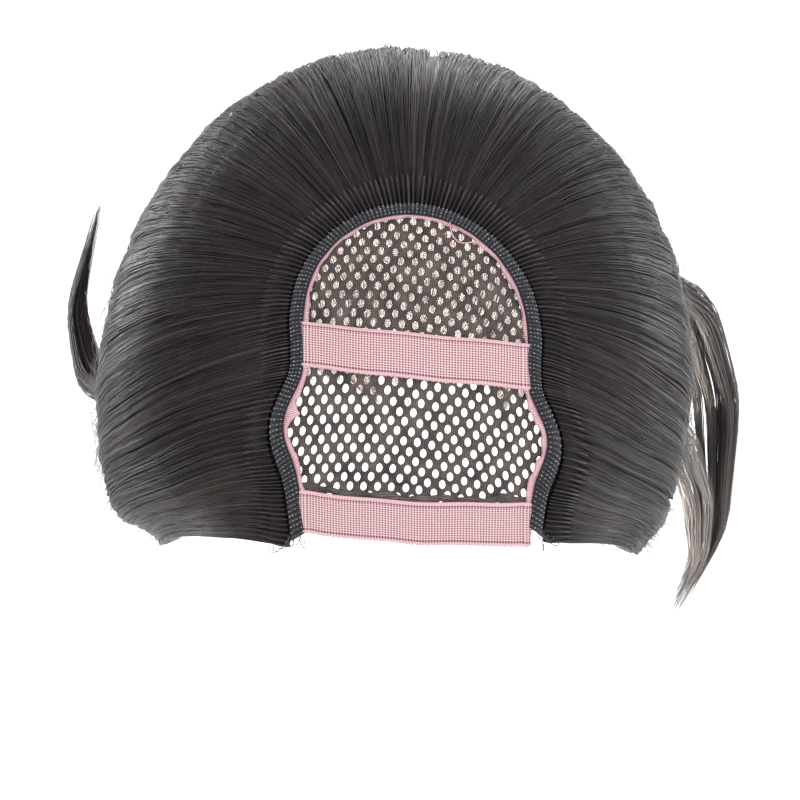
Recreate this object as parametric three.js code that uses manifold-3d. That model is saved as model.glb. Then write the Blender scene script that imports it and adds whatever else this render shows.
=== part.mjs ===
// A half wig: a knitted net cap, open at the top inside a horseshoe of bound edge, two elastic bands
// across that opening, a stitched weft along its edge, and the hair that is combed outwards from the weft
// and falls behind the shoulders. Millimetres, +Z up, -Y forward (the face side). The origin is the
// highest point of the head form, on the inside of the cap. It stands alone and writes no files.
import * as THREE from "three";
import { mergeVertices } from "three/addons/utils/BufferGeometryUtils.js";
import Module from "manifold-3d";

const wasm = await Module();
wasm.setup();

// Head form that the cap is fitted to: half of an ellipsoid above its widest level.
const headHalfWidth = 77;
const headHalfLength = 93;
const headRise = 95;

// Pieces lie on each other with this gap, and a faceted face may dip under its true curve by up to facetDip.
const seatGap = 0.3;
const facetDip = 0.3;

// Net cap.
const netThickness = 1;
const netFrontEdge = 69; // in front of the origin
const netFrontDrop = 31; // below the origin
const netNapeReach = 85; // behind the origin
const netNapeDrop = 130;
const netGapAcross = 4.2;
const netGapAlong = 5;
const netPitchAcross = 8.4;
const netPitchAlong = 6;
const netTurn = THREE.MathUtils.degToRad(-6);
const netMargin = 1.2; // between a gap and the edge of the opening

// Horseshoe opening, in plan. Its rear end is half an ellipse, and its sides go forward from there.
const openingOffset = 4.5; // its middle lies this far to the right
const openingHalfWidth = 31.6;
const openingBack = 15;
const openingRoundLength = 31;
const openingFront = 68;
const openingSlant = 3; // how much further forward its right side lies at the rear
// Rows from the rear end of a side to its front corner: along, as a share of the side's length, and
// halfWidth, as a share of openingHalfWidth.
const openingSide = [
  { along: 0.14, halfWidth: 0.99 },
  { along: 0.3, halfWidth: 1.01 },
  { along: 0.52, halfWidth: 1.18 },
  { along: 0.76, halfWidth: 1.06 },
  { along: 1, halfWidth: 0.99 },
];

// Binding: a strip folded round the edge of the opening. It shows inside the edge and runs out under the weft.
const bindingThickness = 1;
const bindingShow = 1.4;
const bindingUnder = 5.2;

const edgeSteps = 56; // steps of the faceted strips along the edge
const bandSteps = 14; // and of the bands across

// Weft: the stitched head of the hair, laid on the binding along the edge.
const weftWidth = 5.5;
const weftThickness = 1.5;

// Elastic bands across the opening.
const bandWidth = 13;
const bandThickness = 1;
const middleBandBack = 22; // in front of the origin, at the opening's middle
const middleBandSlant = 4; // its right end lies this much further forward
const middleBandBow = 4; // its ends lie this much further back than its middle
const frontBandBack = 64;
const frontBandSlant = 0.5;
const frontBandBow = 5;

// Hair: how it is combed and how thick it lies.
const frontSweep = THREE.MathUtils.degToRad(26); // the front strands lean back from straight sideways
const rootGap = 0.9; // between the weft and the faceted edge of the hair
const hairRoot = 2.2; // thickness where it leaves the weft
const hairRise = 70; // it reaches its full thickness this far from the weft
const frontFullness = 5;
const leftFullness = 16.5;
const rightFullness = 11;
const backFullness = 16;
const frontEdgeShare = 0.13; // share of the lanes over which the front edge fills out
const hairFall = 250; // from the head's widest level to the lowest tips
const backingFall = 165; // how far the closed backing goes down below that level
const hemThickness = 3;
// Plan outline of the hair's inner face at the tips: half an ellipse behind the shoulders.
const tipHalfWidth = 72;
const tipHalfLength = 50;
const tipCentre = 45; // behind the origin
const tipSweep = 0.68; // a tip hangs this share of the way round from straight back that its lane starts at
const sweepStart = 40; // the hair starts to sweep back this far above the widest level
const waveLength = 120;
const waveReach = 7;

// Locks: raised ribs of the backing, which end below it in points.
const lockHeight = 3.4;
const lockTop = 0.44; // the flat top of a lock, as a share of its pitch
const lockStart = 22; // the ribs reach their full height this far from the weft
const tipWidth = 0.8; // of a hanging end, as a share of the locks' pitch
const tipThickness = 4;
const tipOverlap = 8; // how far a hanging end reaches up into the backing
const tipSections = 4;
const rowsOverHead = 7; // rows of faces of the backing above and below the head's widest level
const rowsBelow = 4;
const hairGap = 0.0018; // gap between two hair pieces, as a share of the lanes
// The lanes of the hair run from the left front corner (0) round the rear to the right front corner (1).
const hairPieces = [
  { name: "hair_left", from: 0, to: 0.36, locks: 7 },
  { name: "hair_back", from: 0.36, to: 0.64, locks: 8 },
  { name: "hair_right", from: 0.64, to: 1, locks: 8 },
];
// Loose locks that flare out at the sides. Each row of a path gives a point of the lock's middle line:
// wide as a share of headHalfWidth, back as a share of headHalfLength, and down as a share of hairFall
// below the widest level.
const flareWidth = 13;
const flareThickness = 6;
const flareSections = 8;
const flares = [
  {
    piece: "hair_left",
    path: [
      { wide: -1.05, back: 0.45, down: 0.2 },
      { wide: -1.32, back: 0.58, down: 0.46 },
      { wide: -1.52, back: 0.85, down: 0.62 },
      { wide: -1.6, back: 1.15, down: 0.6 },
      { wide: -1.5, back: 1.36, down: 0.48 },
    ],
  },
  {
    piece: "hair_right",
    path: [
      { wide: 1.03, back: 0.48, down: 0.02 },
      { wide: 1.36, back: 0.68, down: 0.24 },
      { wide: 1.56, back: 0.64, down: 0.5 },
      { wide: 1.53, back: 0.42, down: 0.8 },
      { wide: 1.38, back: 0.26, down: 1 },
    ],
  },
  {
    piece: "hair_right",
    path: [
      { wide: 1.1, back: 0.18, down: 0.16 },
      { wide: 1.27, back: 0.26, down: 0.32 },
      { wide: 1.38, back: 0.26, down: 0.5 },
      { wide: 1.36, back: 0.2, down: 0.64 },
      { wide: 1.2, back: 0.12, down: 0.8 },
    ],
  },
];

const smooth = (x) => THREE.MathUtils.smoothstep(x, 0, 1);
const mix = THREE.MathUtils.lerp;

// The point above (x, y) on the head form, moved out along the surface's normal by out.
function onHead(x, y, out) {
  const rise = Math.sqrt(Math.max(0, 1 - (x / headHalfWidth) ** 2 - (y / headHalfLength) ** 2));
  const normal = new THREE.Vector3(
    x / headHalfWidth ** 2,
    y / headHalfLength ** 2,
    rise / headRise,
  ).normalize();
  return new THREE.Vector3(x, y, headRise * (rise - 1)).addScaledVector(normal, out);
}

// The edge of the opening in plan, as a curve from the left front corner round the rear to the right one.
function makeOpeningEdge() {
  const roundCentre = openingBack - openingRoundLength;
  const sideLength = roundCentre + openingFront;
  const slantAt = (y, side) => -side * openingSlant * smooth((y + openingFront) / sideLength) * 0.5;
  const side = (sign) =>
    openingSide.map((row) => {
      const y = roundCentre - row.along * sideLength;
      return new THREE.Vector3(
        openingOffset + sign * row.halfWidth * openingHalfWidth,
        y + slantAt(y, sign),
        0,
      );
    });
  const roundSteps = 8;
  const round = Array.from({ length: roundSteps + 1 }, (_, i) => {
    const angle = Math.PI * (1 - i / roundSteps);
    const sign = Math.cos(angle);
    return new THREE.Vector3(
      openingOffset + sign * openingHalfWidth,
      roundCentre + Math.sin(angle) * openingRoundLength + slantAt(roundCentre, sign),
      0,
    );
  });
  return new THREE.CatmullRomCurve3([...side(-1).reverse(), ...round, ...side(1)]);
}
const openingEdge = makeOpeningEdge();
const roundShare = 0.5 * (Math.PI * openingHalfWidth) / openingEdge.getLength();

// The point of the edge at lane t, moved outwards in plan by aside, and lifted off the head by out.
function besideEdge(t, aside, out) {
  const point = openingEdge.getPointAt(t);
  const along = openingEdge.getTangentAt(t);
  return onHead(point.x - along.y * aside, point.y + along.x * aside, out);
}

// The direction in plan in which the hair of lane t is combed, as an angle from straight back.
function combAngle(t) {
  const beside = Math.abs(t - 0.5) / roundShare;
  const front = Math.max(0, (beside - 1) / (0.5 / roundShare - 1));
  const angle = beside < 1 ? (Math.PI / 2) * beside : Math.PI / 2 - frontSweep * front ** 1.5;
  return Math.sign(t - 0.5) * angle;
}

// The hair's inner face at a level, as an ellipse in plan.
function ringAt(z) {
  if (z >= -headRise) {
    const share = Math.sqrt(Math.max(0, 1 - (1 + z / headRise) ** 2));
    return { halfWidth: headHalfWidth * share, halfLength: headHalfLength * share, centre: 0 };
  }
  const share = smooth((-headRise - z) / hairFall);
  return {
    halfWidth: mix(headHalfWidth, tipHalfWidth, share),
    halfLength: mix(headHalfLength, tipHalfLength, share),
    centre: tipCentre * share,
  };
}

// A lane of hair: it leaves the weft at lane t, keeps to one upright plane over the head, and then falls.
function makeLane(t) {
  const root = besideEdge(t, weftWidth + rootGap, 0);
  const angle = combAngle(t);
  const dx = Math.sin(angle) / headHalfWidth;
  const dy = Math.cos(angle) / headHalfLength;
  const x0 = root.x / headHalfWidth;
  const y0 = root.y / headHalfLength;
  const square = dx * dx + dy * dy;
  const middle = -(x0 * dx + y0 * dy) / square;
  const share = Math.sqrt(1 - x0 * x0 - y0 * y0 + middle * middle * square);
  const half = share / Math.sqrt(square);
  const start = Math.asin(-middle / half);
  const radius = (half + headRise * share) / 2;
  const overHead = (Math.PI / 2 - start) * radius;
  const edge = Math.atan2(x0 + dx * (middle + half), y0 + dy * (middle + half));
  return { t, x0, y0, dx, dy, middle, half, share, start, radius, overHead, edge };
}

// The point of a lane at a distance along it, out from its inner face.
function hairPoint(lane, along, out) {
  const fall = along - lane.overHead;
  let z = -headRise - fall;
  let angle = lane.edge;
  if (fall < 0) {
    const a = lane.start + along / lane.radius;
    const ahead = lane.middle + lane.half * Math.sin(a);
    z = headRise * (lane.share * Math.cos(a) - 1);
    angle = Math.atan2(lane.x0 + lane.dx * ahead, lane.y0 + lane.dy * ahead);
  }
  const swept = smooth(Math.max(0, (fall + sweepStart) / (hairFall + sweepStart)) ** 0.7);
  const waved = smooth(fall / hairFall) * waveReach;
  const phase = (2 * Math.PI * fall) / waveLength + 5 * lane.t;
  angle -= (1 - tipSweep) * lane.edge * swept;
  angle += (waved * Math.sin(phase)) / headHalfLength;
  const ring = ringAt(z);
  const up = Math.max(0, 1 + z / headRise) / headRise;
  const normal = new THREE.Vector3(
    Math.sin(angle) / Math.max(ring.halfWidth, 1),
    Math.cos(angle) / Math.max(ring.halfLength, 1),
    0,
  );
  if (up > 0) {
    normal.set(
      (ring.halfWidth * Math.sin(angle)) / headHalfWidth ** 2,
      (ring.halfLength * Math.cos(angle)) / headHalfLength ** 2,
      up,
    );
  }
  return new THREE.Vector3(
    ring.halfWidth * Math.sin(angle),
    ring.centre + ring.halfLength * Math.cos(angle),
    z,
  ).addScaledVector(normal.normalize(), out + waved * 0.5 * Math.cos(phase));
}

// The thickness of the hair on lane t at a distance from the weft.
function fullnessAt(lane, along) {
  const side = lane.t < 0.5 ? leftFullness : rightFullness;
  const most = mix(backFullness, side, smooth((Math.abs(lane.t - 0.5) - 0.1) / 0.2));
  const front = smooth((0.5 - Math.abs(lane.t - 0.5)) / frontEdgeShare);
  const full = mix(frontFullness, most, front);
  const fallen = Math.max(0, along - lane.overHead) / hairFall;
  return mix(hairRoot, full, smooth(along / hairRise)) * (1 - 0.45 * smooth(fallen));
}

// A closed solid between two faces that are given at the points of a grid of rows and columns.
function slab(rows, columns, outer, inner) {
  const points = [];
  const faces = [];
  const at = (layer, i, j) => (layer * (rows + 1) + i) * (columns + 1) + j;
  const quad = (a, b, c, d) => faces.push(a, b, c, a, c, d);
  for (const face of [outer, inner]) {
    for (let i = 0; i <= rows; i++) {
      for (let j = 0; j <= columns; j++) points.push(...face(i / rows, j / columns).toArray());
    }
  }
  for (let i = 0; i < rows; i++) {
    for (let j = 0; j < columns; j++) {
      quad(at(0, i, j), at(0, i + 1, j), at(0, i + 1, j + 1), at(0, i, j + 1));
      quad(at(1, i, j), at(1, i, j + 1), at(1, i + 1, j + 1), at(1, i + 1, j));
    }
    quad(at(0, i, 0), at(1, i, 0), at(1, i + 1, 0), at(0, i + 1, 0));
    quad(at(0, i, columns), at(0, i + 1, columns), at(1, i + 1, columns), at(1, i, columns));
  }
  for (let j = 0; j < columns; j++) {
    quad(at(0, 0, j), at(0, 0, j + 1), at(1, 0, j + 1), at(1, 0, j));
    quad(at(0, rows, j), at(1, rows, j), at(1, rows, j + 1), at(0, rows, j + 1));
  }
  return closedGeometry(points, faces);
}

function closedGeometry(points, faces) {
  const geometry = new THREE.BufferGeometry();
  geometry.setAttribute("position", new THREE.Float32BufferAttribute(points, 3));
  geometry.setIndex(faces);
  return geometry;
}

// Turns a closed geometry into a solid for cutting and joining, and back.
function solid(geometry) {
  const bare = geometry.clone();
  bare.deleteAttribute("normal");
  bare.deleteAttribute("uv");
  const merged = mergeVertices(bare, 1e-4);
  const made = new wasm.Manifold(
    new wasm.Mesh({
      numProp: 3,
      vertProperties: merged.attributes.position.array,
      triVerts: new Uint32Array(merged.index.array),
    }),
  );
  return made;
}

function geometryOf(made) {
  const mesh = made.getMesh();
  return closedGeometry(Array.from(mesh.vertProperties), Array.from(mesh.triVerts));
}

// Net cap: a thin shell on the head form, cut off by a plane from the forehead to the nape, with gaps
// inside the opening.
function makeNetCap() {
  const shell = (out) => {
    const ball = new THREE.SphereGeometry(1, 24, 12);
    ball.scale(headHalfWidth + out, headHalfLength + out, headRise + out);
    return solid(ball.translate(0, 0, -headRise));
  };
  const rimAngle = Math.atan2(netNapeDrop - netFrontDrop, netFrontEdge + netNapeReach);
  const depth = 4 * headRise;
  const below = new THREE.BoxGeometry(4 * headHalfWidth, 6 * headHalfLength, depth)
    .translate(0, 0, -depth / 2)
    .rotateX(-rimAngle)
    .translate(0, -netFrontEdge, -netFrontDrop);
  const gaps = netGaps().map((at) => {
    const prism = new THREE.CylinderGeometry(1, 1, 8 * netThickness, 6).rotateX(Math.PI / 2);
    prism.scale(netGapAcross / 2, netGapAlong / 2, 1);
    const normal = onHead(at.x, at.y, 1).sub(onHead(at.x, at.y, 0));
    const turned = new THREE.Quaternion().setFromUnitVectors(new THREE.Vector3(0, 0, 1), normal);
    return solid(prism.applyQuaternion(turned).translate(...onHead(at.x, at.y, 0).toArray()));
  });
  const wall = shell(netThickness).subtract(shell(0)).subtract(solid(below));
  return geometryOf(wall.subtract(wasm.Manifold.union(gaps)));
}

// The middles of the gaps in plan: a staggered pattern, kept where it lies inside the opening.
function netGaps() {
  const outline = openingEdge.getSpacedPoints(80);
  const inside = (x, y) => {
    let crossings = 0;
    outline.forEach((a, i) => {
      const b = outline[(i + 1) % outline.length];
      if (a.y > y !== b.y > y && x < a.x + ((y - a.y) / (b.y - a.y)) * (b.x - a.x)) crossings++;
    });
    const nearest = Math.min(...outline.map((p) => Math.hypot(p.x - x, p.y - y)));
    return crossings % 2 === 1 && nearest > netGapAlong / 2 + netMargin && y > netMargin - netFrontEdge;
  };
  const found = [];
  const reach = Math.ceil((2 * openingFront) / netPitchAlong);
  for (let row = -reach; row <= reach; row++) {
    for (let column = -reach; column <= reach; column++) {
      const across = (column + (row % 2 ? 0.5 : 0)) * netPitchAcross;
      const along = row * netPitchAlong;
      const x = openingOffset + across * Math.cos(netTurn) - along * Math.sin(netTurn);
      const y = across * Math.sin(netTurn) + along * Math.cos(netTurn);
      if (inside(x, y)) found.push({ x, y });
    }
  }
  return found;
}

// The heights of the layers above the head: net, then binding and bands, then weft.
const bindingBase = netThickness + seatGap + facetDip;
const weftBase = bindingBase + bindingThickness + seatGap;
const hairBase = netThickness + seatGap + 2 * facetDip;

function makeBinding() {
  return slab(
    edgeSteps,
    1,
    (i, j) => besideEdge(i, mix(-bindingShow, bindingUnder, j), bindingBase + bindingThickness),
    (i, j) => besideEdge(i, mix(-bindingShow, bindingUnder, j), bindingBase),
  );
}

function makeWeft() {
  return slab(
    edgeSteps,
    1,
    (i, j) => besideEdge(i, mix(0, weftWidth, j), weftBase + weftThickness),
    (i, j) => besideEdge(i, mix(0, weftWidth, j), weftBase),
  );
}

// A band across the opening, from binding to binding. back is how far its rear edge lies in front of the
// origin at the middle, slant how much further forward its right end lies, and bow how far back its ends lie.
function makeBand(back, slant, bow) {
  const gap = bindingShow + seatGap + facetDip;
  const width = bandWidth * bandPlanShare(back);
  const lateralAt = (y, side) => {
    const half = openingEdge.getSpacedPoints(160).filter((p) => side * (p.x - openingOffset) > 0);
    const nearest = half.reduce((a, b) => (Math.abs(b.y - y) < Math.abs(a.y - y) ? b : a));
    return nearest.x - side * gap;
  };
  const place = (i, j, out) => {
    const y0 = -back - width * j;
    const left = lateralAt(y0 + bow + slant / 2, -1);
    const right = lateralAt(y0 + bow - slant / 2, 1);
    return onHead(mix(right, left, i), y0 + bow * (2 * i - 1) ** 2 + mix(-slant, slant, i) / 2, out);
  };
  return slab(
    bandSteps,
    2,
    (i, j) => place(i, j, bindingBase + bandThickness),
    (i, j) => place(i, j, bindingBase),
  );
}

// A length laid forward on the head from there covers this share of itself in plan.
function bandPlanShare(back) {
  const step = onHead(openingOffset, -back - bandWidth / 2, 0).sub(onHead(openingOffset, -back, 0));
  return bandWidth / 2 / step.length();
}

// A piece of the hair: a backing from the weft down, ribbed with locks, and their ends fused to its hem.
function makeHair({ name, from, to, locks }) {
  const first = from + (from > 0 ? hairGap / 2 : 0);
  const last = to - (to < 1 ? hairGap / 2 : 0);
  const pitch = (last - first) / locks;
  const columns = [];
  for (let k = 0; k < locks; k++) {
    const left = first + k * pitch;
    columns.push({ lane: makeLane(left), rib: 0 });
    columns.push({ lane: makeLane(left + 0.5 * (1 - lockTop) * pitch), rib: 1 });
    columns.push({ lane: makeLane(left + 0.5 * (1 + lockTop) * pitch), rib: 1 });
  }
  columns.push({ lane: makeLane(last), rib: 0 });
  const columnAt = (j) => columns[Math.round(j * (columns.length - 1))];
  const level = rowsOverHead / (rowsOverHead + rowsBelow); // the share of the rows at the widest level
  const down = (lane, i) =>
    i < level
      ? (lane.overHead * i) / level
      : lane.overHead + (backingFall * (i - level)) / (1 - level);
  const backing = slab(
    columns.length - 1,
    rowsOverHead + rowsBelow,
    (j, i) => {
      const { lane, rib } = columnAt(j);
      const along = down(lane, i);
      const thick = mix(fullnessAt(lane, along), hemThickness, smooth((i - 0.8) / 0.2));
      return hairPoint(lane, along, hairBase + thick + rib * lockHeight * smooth(along / lockStart));
    },
    (j, i) => hairPoint(columnAt(j).lane, down(columnAt(j).lane, i), hairBase),
  );
  const ends = Array.from({ length: locks }, (_, k) => makeLockEnd(first + (k + 0.5) * pitch, pitch, k));
  const loose = flares.filter((flare) => flare.piece === name).map(makeFlare);
  return geometryOf(wasm.Manifold.union([...loose, ...ends, backing].map(solid)));
}

// The section of a lock, from side to side: its top is raised, and its underside is a ridge.
const lockProfile = [
  { side: -1, level: "edge" },
  { side: -0.5, level: "top" },
  { side: 0.5, level: "top" },
  { side: 1, level: "edge" },
  { side: 0, level: "under" },
];

// A closed strip through sections; pointAt gives the point of a row of the profile at a share of its length.
function strip(sections, pointAt) {
  const points = [];
  const faces = [];
  const ring = lockProfile.length;
  const tip = sections * ring;
  for (let i = 0; i <= sections; i++) {
    for (const row of lockProfile) points.push(...pointAt(i / sections, row).toArray());
    for (let k = 0; i < sections && k < ring; k++) {
      const a = i * ring + k;
      const b = i * ring + ((k + 1) % ring);
      faces.push(a, b, a + ring, b, b + ring, a + ring);
    }
  }
  for (let k = 1; k < ring - 1; k++) faces.push(0, k + 1, k, tip, tip + k, tip + k + 1);
  return closedGeometry(points, faces);
}

// The hanging end of a lock: it starts inside the backing's hem and tapers to a point. Every third is longest.
function makeLockEnd(middle, pitch, count) {
  const begin = backingFall - tipOverlap;
  const end = hairFall * (1 - 0.06 * ((count * 2) % 3) - 0.12 * Math.abs(middle - 0.5));
  const levels = { top: 0.5, edge: 0, under: -0.5 };
  return strip(tipSections, (share, { side, level }) => {
    const taper = 1 - 0.93 * smooth((share - 0.15) / 0.85);
    const beside = makeLane(middle + 0.5 * side * tipWidth * pitch * taper);
    const thick = levels[level] * tipThickness * (share > 0 ? taper : 0.5);
    return hairPoint(beside, beside.overHead + mix(begin, end, share), hairBase + 0.6 * hemThickness + thick);
  });
}

// A loose lock along a path of its own, flat towards the head, which ends in a point.
function makeFlare({ path }) {
  const middle = new THREE.CatmullRomCurve3(
    path.map(
      ({ wide, back, down }) =>
        new THREE.Vector3(wide * headHalfWidth, back * headHalfLength, -headRise - down * hairFall),
    ),
  );
  const sideways = Math.sign(path[0].wide);
  const levels = { top: 0.5, edge: 0, under: -0.5 };
  return strip(flareSections, (share, { side, level }) => {
    const along = middle.getTangentAt(share);
    const outward = new THREE.Vector3(sideways, 0, 0).projectOnPlane(along).normalize();
    const across = outward.clone().cross(along);
    const taper = 1 - 0.9 * smooth((share - 0.3) / 0.7);
    return middle
      .getPointAt(share)
      .addScaledVector(across, 0.5 * side * taper * flareWidth)
      .addScaledVector(outward, levels[level] * taper * flareThickness);
  });
}

function finish(color, roughness) {
  return new THREE.MeshStandardMaterial({ color, roughness, metalness: 0, side: THREE.FrontSide });
}
const blackNet = finish(0x39343a, 0.9);
const pinkElastic = finish(0xe9bcc4, 0.85);
const pinkTape = finish(0xeec6cc, 0.8);
const darkThread = finish(0x2b2a2e, 0.7);
const darkHair = finish(0x231f20, 0.42);

function piece(name, geometry, material) {
  const mesh = new THREE.Mesh(geometry, material);
  mesh.name = name;
  return mesh;
}

const wig = new THREE.Group();
wig.add(piece("net_cap", makeNetCap(), blackNet));
wig.add(piece("edge_binding", makeBinding(), pinkTape));
wig.add(piece("middle_band", makeBand(middleBandBack, middleBandSlant, middleBandBow), pinkElastic));
wig.add(piece("front_band", makeBand(frontBandBack, frontBandSlant, frontBandBow), pinkElastic));
wig.add(piece("edge_weft", makeWeft(), darkThread));
for (const part of hairPieces) wig.add(piece(part.name, makeHair(part), darkHair));

export default wig;
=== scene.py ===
# A half wig seen from above and a little in front of the crown. A knitted net cap is open at the top
# inside a horseshoe of pink tape, two elastic bands cross that opening, and long hair is stitched
# along its edge and combed outwards. Metres in the scene, millimetres in the tables; +Z up, face at -Y.
import math
import bpy
import numpy as np
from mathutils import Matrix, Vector


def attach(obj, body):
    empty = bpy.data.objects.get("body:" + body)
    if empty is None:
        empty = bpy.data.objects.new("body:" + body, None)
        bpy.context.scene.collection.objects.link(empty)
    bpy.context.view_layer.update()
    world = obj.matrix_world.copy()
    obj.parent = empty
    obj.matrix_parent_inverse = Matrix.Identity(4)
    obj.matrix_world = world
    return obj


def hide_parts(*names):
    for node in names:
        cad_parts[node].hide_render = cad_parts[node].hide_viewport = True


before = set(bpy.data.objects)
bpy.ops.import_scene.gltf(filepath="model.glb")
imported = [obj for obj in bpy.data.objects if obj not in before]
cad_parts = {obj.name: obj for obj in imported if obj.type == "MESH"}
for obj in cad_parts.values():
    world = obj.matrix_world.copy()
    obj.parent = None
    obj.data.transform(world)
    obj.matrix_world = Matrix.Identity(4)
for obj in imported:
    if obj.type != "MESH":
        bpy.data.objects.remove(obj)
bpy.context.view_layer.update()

from types import SimpleNamespace

# Camera: a long lens above the crown, 65 degrees up, level and without shift, aimed at the middle
# of the cap's widest level.
head_middle = Vector((0, 0, -0.095))
camera_rise = math.radians(65)
camera_distance = 1.1
bpy.ops.object.camera_add(
    location=head_middle + camera_distance * Vector((0, -math.cos(camera_rise), math.sin(camera_rise))),
    rotation=(math.pi / 2 - camera_rise, 0, 0),
)
camera = bpy.context.object
camera.data.sensor_width = 36
camera.data.lens = 154.7
camera.data.clip_start = 0.05
camera.data.clip_end = 50
bpy.context.scene.camera = camera
bpy.context.scene.view_settings.view_transform = "Standard"


# Studio: a pale painted floor well below the hanging hair, a white surround and large soft lamps. The low
# ones give the hair its bright rims; a small warm one shines up into the hollow and gleams behind the net.
def linear(hex_colour):
    parts = [int(hex_colour[i:i + 2], 16) / 255 for i in (1, 3, 5)]
    return [c / 12.92 if c <= 0.04045 else ((c + 0.055) / 1.055) ** 2.4 for c in parts] + [1]


def join_up(output, socket):
    socket.id_data.links.new(output, socket)


def new_material(name, values):
    """A material and its shader, with values for the shader's inputs."""
    material = bpy.data.materials.new(name)
    material.use_nodes = True
    shader = material.node_tree.nodes["Principled BSDF"]
    for key, value in values.items():
        shader.inputs[key].default_value = value
    return material, shader


def add(tree, kind, inputs=None, **settings):
    """A node with its settings. An input gets a value, or a link from the output that is given for it."""
    made = tree.nodes.new(kind)
    for name, value in settings.items():
        setattr(made, name, value)
    for name, value in (inputs or {}).items():
        if isinstance(value, bpy.types.NodeSocket):
            join_up(value, made.inputs[name])
        else:
            made.inputs[name].default_value = value
    return made


def ramp(share, *stops):
    """The colour at a share, from stops of position and colour. Blender's ramp starts with two stops."""
    made = add(share.id_data, "ShaderNodeValToRGB", {"Fac": share})
    elements = made.color_ramp.elements
    for number, (position, colour) in enumerate(stops):
        stop = elements[number] if number < 2 else elements.new(position)
        stop.position = position
        stop.color = linear(colour)
    return made.outputs["Color"]


bpy.ops.mesh.primitive_plane_add(size=12, location=(0, 0, -0.75))
floor = bpy.context.object
floor.name = "studio_floor"
# painted board: matt, a very faint mottle that keeps it from being a flat white
painted_board, board = new_material("painted_board", {"Roughness": 0.9, "Specular IOR Level": 0.2})
mottle = add(painted_board.node_tree, "ShaderNodeTexNoise", {"Scale": 9.0, "Detail": 3.0})
join_up(ramp(mottle.outputs["Fac"], (0, "#F4F4F3"), (1, "#FAFAF9")), board.inputs["Base Color"])
floor.data.materials.append(painted_board)

surround = bpy.data.worlds.new("surround")
surround.use_nodes = True
sky = surround.node_tree.nodes["Background"]
sky.inputs["Color"].default_value = (1, 1, 1, 1)
sky.inputs["Strength"].default_value = 1.0
bpy.context.scene.world = surround


def add_lamp(kind, name, place, target, power):
    aimed = (target - Vector(place)).to_track_quat("-Z", "Y").to_euler()
    bpy.ops.object.light_add(type=kind, location=place, rotation=aimed)
    lamp = bpy.context.object
    lamp.name = name
    lamp.visible_camera = False
    lamp.data.energy = power
    return lamp.data


for name, place, size, power in [
    ("key_lamp", (-0.55, -0.75, 1.35), 0.7, 13),
    ("fill_lamp", (0.95, -0.35, 1.05), 0.9, 8),
    ("rear_lamp", (0.12, 1.35, -0.25), 0.9, 21),
    ("left_rim_lamp", (-1.2, 0.35, -0.58), 0.7, 29),
    ("right_rim_lamp", (1.2, 0.3, -0.55), 0.7, 13),
]:
    add_lamp("AREA", name, place, head_middle, power).size = size

hollow_lamp = add_lamp("SPOT", "hollow_lamp", (0, -0.13, -0.64), Vector((0.004, 0.087, -0.195)), 66)
hollow_lamp.color = (1.0, 0.86, 0.76)
hollow_lamp.shadow_soft_size = 0.1
hollow_lamp.spot_size = math.radians(19)
hollow_lamp.spot_blend = 0.6

# Net cap: a black-brown polyester net, knitted in one piece and stretched over the crown. Inside the
# opening its staggered oval holes show one by one; under the hair it is a closed-looking knit wall.
head_half_width, head_half_length, head_rise = 77.0, 93.0, 95.0
opening_offset, opening_half_width, opening_back = 4.5, 31.6, 15.0
opening_round_length, opening_front, opening_slant = 31.0, 68.0, 3.0
opening_side = [(0.14, 0.99), (0.3, 1.01), (0.52, 1.18), (0.76, 1.06), (1.0, 0.99)]
edge_points = 2001
chance = np.random.default_rng(11)


def smooth(x):
    x = np.clip(x, 0, 1)
    return x * x * (3 - 2 * x)


def mix(a, b, share):
    return a + (b - a) * share


def unit(directions):
    return directions / np.linalg.norm(directions, axis=-1, keepdims=True)


def lengths_along(points):
    """The distance of each point from the first, along the line through them."""
    return np.concatenate([[0], np.cumsum(np.linalg.norm(np.diff(points, axis=0), axis=1))])


def between_rows(at, places, rows):
    """The rows of a table, which stand at places, worked out at other places between them."""
    return np.stack([np.interp(at, places, column) for column in rows.T], -1)


def on_head(x, y, out):
    """The point of the head form at x, y in plan, moved outwards by out."""
    x, y, out = np.broadcast_arrays(x, y, out)
    rise = np.sqrt(np.maximum(0, 1 - (x / head_half_width) ** 2 - (y / head_half_length) ** 2))
    normal = unit(np.stack([x / head_half_width ** 2, y / head_half_length ** 2, rise / head_rise], -1))
    return np.stack([x, y, head_rise * (rise - 1)], -1) + normal * out[..., None]


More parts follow.
